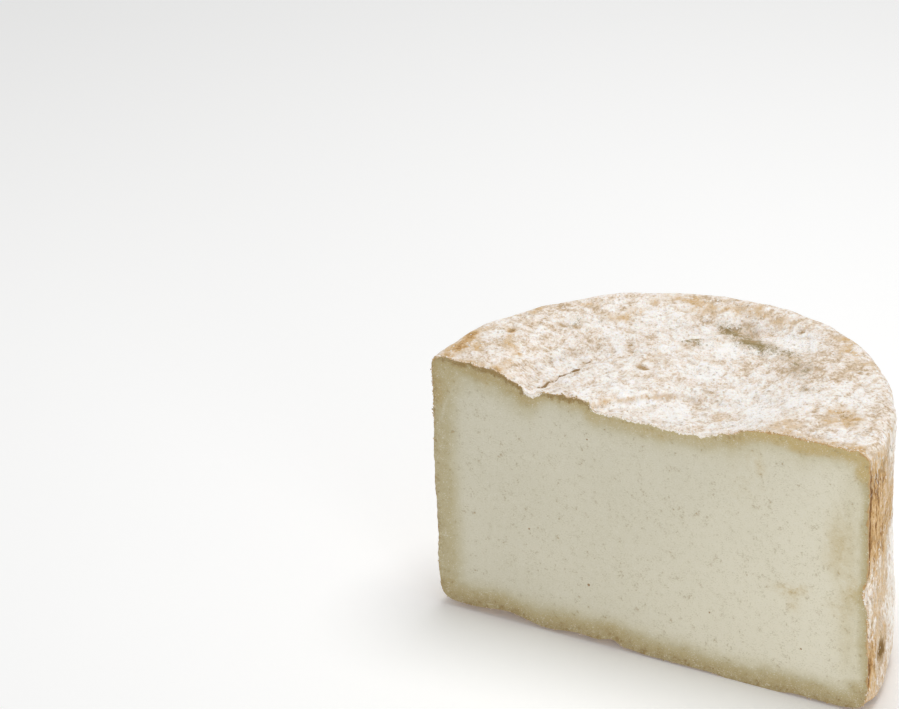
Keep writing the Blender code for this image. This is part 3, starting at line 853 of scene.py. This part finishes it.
topEdge = 100  # an edge of the cut above this is its top edge
pasteMap = {
    # depth under the rind and how dark the paste is there, for each part of the edge
    "bands": {
        "left": [(0, 0.72), (3, 0.66), (8, 0.62), (12, 0.4), (16, 0.14), (21, 0)],
        "right": [(0, 0.9), (2, 0.66), (5, 0.26), (9, 0.24), (14, 0.2), (20, 0.1), (28, 0)],
        "foot": [(0, 0.98), (3, 0.92), (5, 0.85), (8, 0.68), (10, 0.5), (13, 0.28), (17, 0.1), (22, 0)],
        "topLeft": [(0, 1.0), (2, 0.92), (5, 0.72), (9, 0.36), (14, 0.12), (20, 0)],
        "topPad": [(0, 1.0), (2, 0.86), (4, 0.5), (6, 0.3), (10, 0.1), (15, 0)],
        "topMiddle": [(0, 0.6), (3, 0.52), (6, 0.46), (9, 0.2), (13, 0.05), (18, 0)],
        "topRight": [(0, 0.86), (3, 0.74), (6, 0.46), (9, 0.28), (14, 0.1), (20, 0)],
    },
    # the parts of the top edge: up to which x
    "topParts": [("topLeft", -59), ("topPad", -27), ("topMiddle", 40), ("topRight", 999)],
    # along the top edge: x, how dark the crust under the rind is
    "crust": [
        (-116, 0.2), (-104, 0.45), (-98, 0.9), (-80, 0.95), (-67, 1), (-62, 0.2), (-56, 0.3), (-52, 0.85),
        (-42, 0.95), (-31, 0.8), (-27, 0.2), (20, 0.15), (40, 0.25), (60, 0.2), (116, 0.2),
    ],
    "crustDepth": 3.2,
    # where the white rind hangs over the cut: x, how white, how far down
    "dusted": [
        (-116, 0, 1), (-66, 0, 1), (-63.5, 1.1, 2.6), (-60, 1.2, 3.2), (-56, 1.1, 2.2), (-53, 0, 1),
        (-34, 0, 1), (-28, 1, 1.6), (-20, 0.9, 1.6), (0, 0.8, 1.4), (20, 1, 1.8), (29, 1.2, 2.4),
        (36, 0.9, 1.6), (46, 0, 1), (116, 0, 1),
    ],
    "stains": [
        (74, 57, 7, 3, 0.8), (81, 60, 4, 2, 0.6), (77, 50, 3, 4, 0.6), (57, 123, 4, 4, 0.5),
        (60, 118, 3, 3, 0.5), (108, 66, 5, 6, 0.7), (101, 85, 6, 12, 0.35), (-85, 129, 3, 3, 0.4),
        (98, 54, 5, 5, 0.25), (52, 108, 10, 10, 0.12),
    ],
    "scrape": [(-112, 101), (-108, 114), (-100, 129)],  # a pale line in the left corner
    # olive clouds under the right edge
    "clouds": [
        (103, 108, 7, 12, 0.1), (101, 91, 8, 12, 0.25), (98, 76, 8, 7, 0.15), (104, 57, 6, 12, 0.22),
        (102, 34, 6, 14, 0.16),
    ],
}


def depthUnderRind(mesh, points):
    # how far each vertex of the paste lies from the rind, seen from the front
    sides = sidesOf(mesh)
    rim = points[sides.all(1)]
    tree = kdtree.KDTree(len(rim))
    for i, spot in enumerate(rim):
        tree.insert((spot[0], 0, spot[2]), i)
    tree.balance()
    depth = np.zeros(len(points))
    for v in np.where(sides[:, 1])[0]:
        depth[v] = tree.find((points[v, 0], 0, points[v, 2]))[2]
    return depth


def markPaste(half):
    # which faces are paste, and what the paste's material needs to know at each place
    mesh = half.data
    centres, normals = facesOf(mesh)
    isPaste = (normals[:, 1] < -0.85) & (np.abs(centres[:, 1] - cutY) < 0.45)
    mesh.polygons.foreach_set("material_index", isPaste.astype(np.int32))
    points = readPoints(mesh)
    depth = depthUnderRind(mesh, points)
    x, z = points[:, 0], points[:, 2]
    onTopEdge = z > topEdge
    warp = noiseAt(points, 18) * 2.6 + noiseAt(points, 6)
    d = np.maximum(0, depth + warp * smooth(0.5, 5, depth))
    # which part of the edge is nearest, with soft changes from one to the next
    zones, start = {}, np.ones(len(x))
    for name, end in pasteMap["topParts"]:
        passed = smooth(end + 3, end - 3, x)
        zones[name] = start * passed
        start = start * (1 - passed)
    corner = smooth(98, 108, x)
    top = smooth(104 + 16 * corner, 116 + 14 * corner, z)
    band = top * sum(where * amountAt(pasteMap["bands"][name], d) for name, where in zones.items())
    zones["left"] = smooth(-92, -108, x) * smooth(140, 122, z)
    zones["right"] = smooth(90, 106, x) * smooth(139, 128, z)
    zones["foot"] = smooth(24, 12, z)
    for name in ("left", "right", "foot"):
        band = np.maximum(band, zones[name] * amountAt(pasteMap["bands"][name], d))
    band = np.maximum(band, 0.62 * smooth(24, 6, np.hypot(x + 112, z - 132)))
    cloudy = patches(pasteMap["clouds"], x + 1.8 * warp, z + 1.8 * warp)
    band = np.maximum(band, cloudy) + 0.4 * np.minimum(band, cloudy)
    scrape = alongLine(pasteMap["scrape"], x, z)[0]
    band = band * (1 - 0.4 * bell(scrape, 0.9) * smooth(100, 104, z) * smooth(130, 125, z))
    note(mesh, "band", band)
    dark = amountAt(pasteMap["crust"], x) * onTopEdge
    side = 0.22 * np.maximum(zones["left"], zones["foot"]) * smooth(104, 98, z)
    crust = (dark + side) * smooth(pasteMap["crustDepth"] + 1.2, 0.8, depth + 1.6 * noiseAt(points, 2.2))
    note(mesh, "crust", crust)
    where, white, reach = np.array(pasteMap["dusted"]).T
    reach = np.interp(x, where, reach)
    note(mesh, "dusted", np.interp(x, where, white) * smooth(1, 0, depth / reach) * onTopEdge)
    skinSide = np.maximum(0.8 * smooth(108, 112, x), smooth(35, 60, x) * onTopEdge)
    skinSide = np.maximum(skinSide, 0.5 * smooth(-111, -114, x))
    note(mesh, "skin", skinSide * smooth(1.5, 0.2, depth))
    sunny = (0.55 + 0.6 * smooth(40, 70, x)) * smooth(11, 1, d) * top
    sunny = np.maximum(sunny, 0.28 * zones["foot"] * smooth(16, 3, d))
    sunny = np.maximum(sunny, 1.6 * cloudy)
    sunny = np.maximum(sunny, 0.35 * smooth(26, 6, np.hypot(x + 112, z - 130)))
    note(mesh, "honey", sunny)
    lowEdge = np.maximum(zones["foot"] * smooth(10, 2, depth), zones["left"] * smooth(4, 1, depth))
    note(mesh, "edge", lowEdge)
    note(mesh, "stain", patches(pasteMap["stains"], x, z))
    # painted light: more of it to the right and lower down on the cut, away from the dark bands
    note(mesh, "bloom", 0.8 * smooth(-40, 110, x - 0.7 * z + 40) * smooth(0.75, 0.0, band))


def makeHalfWheel():
    half = makeDrum()
    print("drum ready,", len(half.data.vertices), "vertices")
    pressDrum(half.data)
    roughen(half.data)
    print("drum pressed")
    cutWithKnife(half)
    pick(half, "FACE", lambda face: True)
    bpy.ops.mesh.bisect(plane_co=(0, 0, 0), plane_no=(0, 0, -1), use_fill=True, clear_outer=True)
    setMode("OBJECT")
    print("half cut,", len(half.data.polygons), "faces")
    half.data.materials.clear()
    half.data.materials.append(makeRindMaterial())
    half.data.materials.append(makePasteMaterial())
    markPaste(half)
    alone(half)
    bpy.ops.object.shade_smooth_by_angle(angle=math.radians(55))
    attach(half, "root")
    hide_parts("half_wheel")
    return half


halfWheel = makeHalfWheel()
print("half wheel ready")

# ---- loose mould on the crust

grains = {
    "count": 2600,
    "size": (0.25, 0.7),
    "flatness": 0.32,
    "seed": 7,
    "white": (247, 244, 240),
    "shade": (232, 220, 204),
}
wisps = {
    "count": 1700,
    "length": (0.3, 1.5),
    "width": (0.07, 0.2),
    "seed": 11,
    "frizz": [(0, 60, 7, 9, 1)],  # y from the cut, height, radius each way, amount
    "white": (246, 241, 234),
    "shade": (230, 214, 194),
}
edgeCrumbs = {
    "count": 700,
    "size": (0.18, 0.58),
    "seed": 19,
    "footEdge": 9,  # an edge of the cut below this is its foot
    # x, height, radius each way, amount: where more of them are, and where they are white
    "crowd": [(113, 58, 8, 12, 1)],
    "whiteSpot": [(113, 60, 8, 14, 1)],
    "tones": [(0.0, (160, 132, 88)), (0.35, (206, 178, 134)), (0.7, (234, 220, 198)), (1.0, (248, 244, 238))],
    # along the top edge: x, and how white the crumbs are
    "white": [
        (-116, 0.35), (-100, 0.3), (-70, 0.2), (-65, 0.9), (-58, 1), (-54, 0.35), (-36, 0.25), (-29, 0.7),
        (-20, 0.95), (30, 0.95), (46, 0.55), (80, 0.45), (100, 0.6), (116, 0.35),
    ],
}


def smallBall():
    # one crumb, which scatter turns, stretches and dents
    bpy.ops.mesh.primitive_ico_sphere_add(subdivisions=1, radius=1)
    ball = bpy.context.object
    corners = np.array([tuple(v.co) for v in ball.data.vertices])
    faces = np.array([tuple(f.vertices) for f in ball.data.polygons])
    bpy.data.objects.remove(ball)
    return corners, faces


def scatter(name, material, places, axes, seed, tone=None):
    # one mesh of many crumbs, each with its place and three axes, and tone how white it is
    corners, faces = smallBall()
    rng = np.random.default_rng(seed)
    count = len(places)
    wobble = 1 + rng.uniform(-0.28, 0.28, (count, len(corners), 1))
    points = places[:, None, :] + np.einsum("nvk,nkj->nvj", corners[None] * wobble, axes)
    every = (faces[None] + (np.arange(count) * len(corners))[:, None, None]).reshape(-1, 3)
    mesh = bpy.data.meshes.new(name)
    mesh.from_pydata((points.reshape(-1, 3) * mm).tolist(), [], every.tolist())
    mesh.update()
    if tone is not None:
        note(mesh, "tone", np.repeat(tone, len(corners)))
    piece = bpy.data.objects.new(name, mesh)
    bpy.context.collection.objects.link(piece)
    mesh.materials.append(material)
    mesh.shade_smooth()
    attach(piece, "root")


def rindFaces(half):
    # the rind's small faces above the foot: centre, normal, area, mould
    mesh = half.data
    centres, normals = facesOf(mesh)
    areas = readAll(mesh.polygons, "area")
    slots = readAll(mesh.polygons, "material_index", kind=np.int32)
    starts = readAll(mesh.polygons, "loop_start", kind=np.int32)
    corners = readAll(mesh.loops, "vertex_index", kind=np.int32)
    mould = readAll(mesh.attributes["mould"].data, "value", kind=np.float32)[corners[starts]]
    keep = (slots == 0) & (centres[:, 2] > 1.0) & (areas < 4 * mm * mm)
    return centres[keep], normals[keep], areas[keep], np.clip(mould[keep], 0, 1)


def framesOn(normals, upright, rng):
    # two axes along the surface, the second nearly upright or turned at random
    count = len(normals)
    spin = rng.uniform(0, 2 * math.pi, count) if upright is None else rng.normal(0, upright, count)
    up = np.tile((0.0, 0.0, 1.0), (count, 1))
    flat = np.abs(normals[:, 2]) > 0.95
    up[flat] = (0, 1, 0)
    across = np.cross(up, normals)
    across /= np.linalg.norm(across, axis=1)[:, None]
    along = np.cross(normals, across)
    c, s = np.cos(spin)[:, None], np.sin(spin)[:, None]
    return across * c + along * s, along * c - across * s


def makeMouldGrains(half):
    centres, normals, areas, mould = rindFaces(half)
    rng = np.random.default_rng(grains["seed"])
    onTop = smooth(0.2, 0.6, normals[:, 2])
    edge = smooth(2.2, 0.6, centres[:, 1] - cutY)
    clumps = noiseAt(centres, 9)
    dusty = mould ** 2 * (0.25 + onTop) * np.clip(0.6 + 1.6 * clumps, 0.05, 2)
    weight = areas * (dusty + 3.0 * edge * onTop * mould)
    picked = rng.choice(len(centres), grains["count"], replace=False, p=weight / weight.sum())
    centres, normals = centres[picked], normals[picked]
    low, high = grains["size"]
    size = low + (high - low) * rng.uniform(0, 1, len(picked)) ** 2.2
    across, along = framesOn(normals, None, rng)
    stretch = rng.uniform(0.75, 1.35, len(picked))
    axes = np.stack([across * (size * stretch)[:, None], along * (size / stretch)[:, None],
                     normals * (size * grains["flatness"])[:, None]], 1)
    places = centres + normals * (size * 0.05)[:, None]
    material = makeMouldMaterial("looseMould", grains)
    scatter("mouldGrains", material, places, axes, grains["seed"])


def makeMouldWisps(half):
    centres, normals, areas, mould = rindFaces(half)
    rng = np.random.default_rng(wisps["seed"])
    onSide = smooth(0.55, 0.2, np.abs(normals[:, 2]))
    # one frizzy spot beside the cut's right edge
    frizz = patches(wisps["frizz"], centres[:, 1] - cutY, centres[:, 2]) * (centres[:, 0] > 90)
    clumps = noiseAt(centres, 7, 7, 20)
    weight = areas * onSide * (np.clip(mould + 0.9 * clumps, 0.03, 1) + 4 * frizz)
    picked = rng.choice(len(centres), wisps["count"], replace=False, p=weight / weight.sum())
    centres, normals, frizz = centres[picked], normals[picked], frizz[picked]
    length = rng.uniform(*wisps["length"], len(picked)) * (1 - 0.5 * frizz)
    width = rng.uniform(*wisps["width"], len(picked))
    across, along = framesOn(normals, 0.16, rng)
    twist = rng.uniform(-1.2, 1.2, len(picked))[:, None] * frizz[:, None]
    c, s = np.cos(twist), np.sin(twist)
    along, across = along * c + across * s, across * c - along * s
    axes = np.stack([across * width[:, None], normals * (width * 0.8)[:, None], along * length[:, None]], 1)
    places = centres + normals * (0.06 + 0.35 * frizz)[:, None]
    material = makeMouldMaterial("mouldThreads", wisps)
    scatter("mouldWisps", material, places, axes, wisps["seed"])


def makeEdgeCrumbs(half):
    # torn crumbs of crust along the edge of the cut
    mesh = half.data
    points = readPoints(mesh)
    rim = points[sidesOf(mesh).all(1) & (points[:, 2] > 0.4)]
    rng = np.random.default_rng(edgeCrumbs["seed"])
    x, z, foot = rim[:, 0], rim[:, 2], edgeCrumbs["footEdge"]
    weight = np.where(z > topEdge, 1.0, np.where(z < foot, 0.3, 0.06))
    weight = np.maximum(weight, patches(edgeCrumbs["crowd"], x, z))
    weight[(x > 108) & (z > 84)] = 0.02
    spots = rim[rng.choice(len(rim), edgeCrumbs["count"], p=weight / weight.sum())]
    count = len(spots)
    low, high = edgeCrumbs["size"]
    size = low + (high - low) * rng.uniform(0, 1, count) ** 2.0
    middle = np.array([0, 0, 66])
    inwards = (middle - spots) * (1, 0, 1)
    inwards /= np.linalg.norm(inwards, axis=1)[:, None]
    spots = spots + rng.normal(0, 0.35, (count, 3)) * (1, 0.5, 1)
    spots += inwards * (size * rng.uniform(-0.1, 0.6, count))[:, None]
    spots[:, 1] += size * rng.uniform(-0.05, 0.9, count)
    axes = rng.normal(0, 1, (count, 3, 3))
    axes = np.linalg.qr(axes)[0] * (size[:, None] * rng.uniform(0.6, 1.2, (count, 3)))[:, :, None]
    x, z = spots[:, 0], spots[:, 2]
    white = np.where(z > topEdge, amountAt(edgeCrumbs["white"], x), np.where(z < foot, 0.45, 0.35))
    white = np.maximum(white, patches(edgeCrumbs["whiteSpot"], x, z))
    tone = np.clip(white + rng.normal(0, 0.16, count), 0, 1)
    material, surface, place = newMaterial("crustCrumbs", 0.9, 0.1)
    tones = [(at, linear(*colour)) for at, colour in edgeCrumbs["tones"]]
    worn = noted(place, "tone")[0] + place.grain(1.2, 2, 0.6) * 0.5
    colour = worn.node("ValToRGB", {"stops": tones}, {"Fac": worn}, "Color")
    finishMaterial(surface, colour, place.grain(0.6, 2, 0.6), 0.15)
    scatter("edgeCrumbs", material, spots, axes, edgeCrumbs["seed"], tone)


makeMouldGrains(halfWheel)
makeMouldWisps(halfWheel)
makeEdgeCrumbs(halfWheel)
print("loose mould ready")
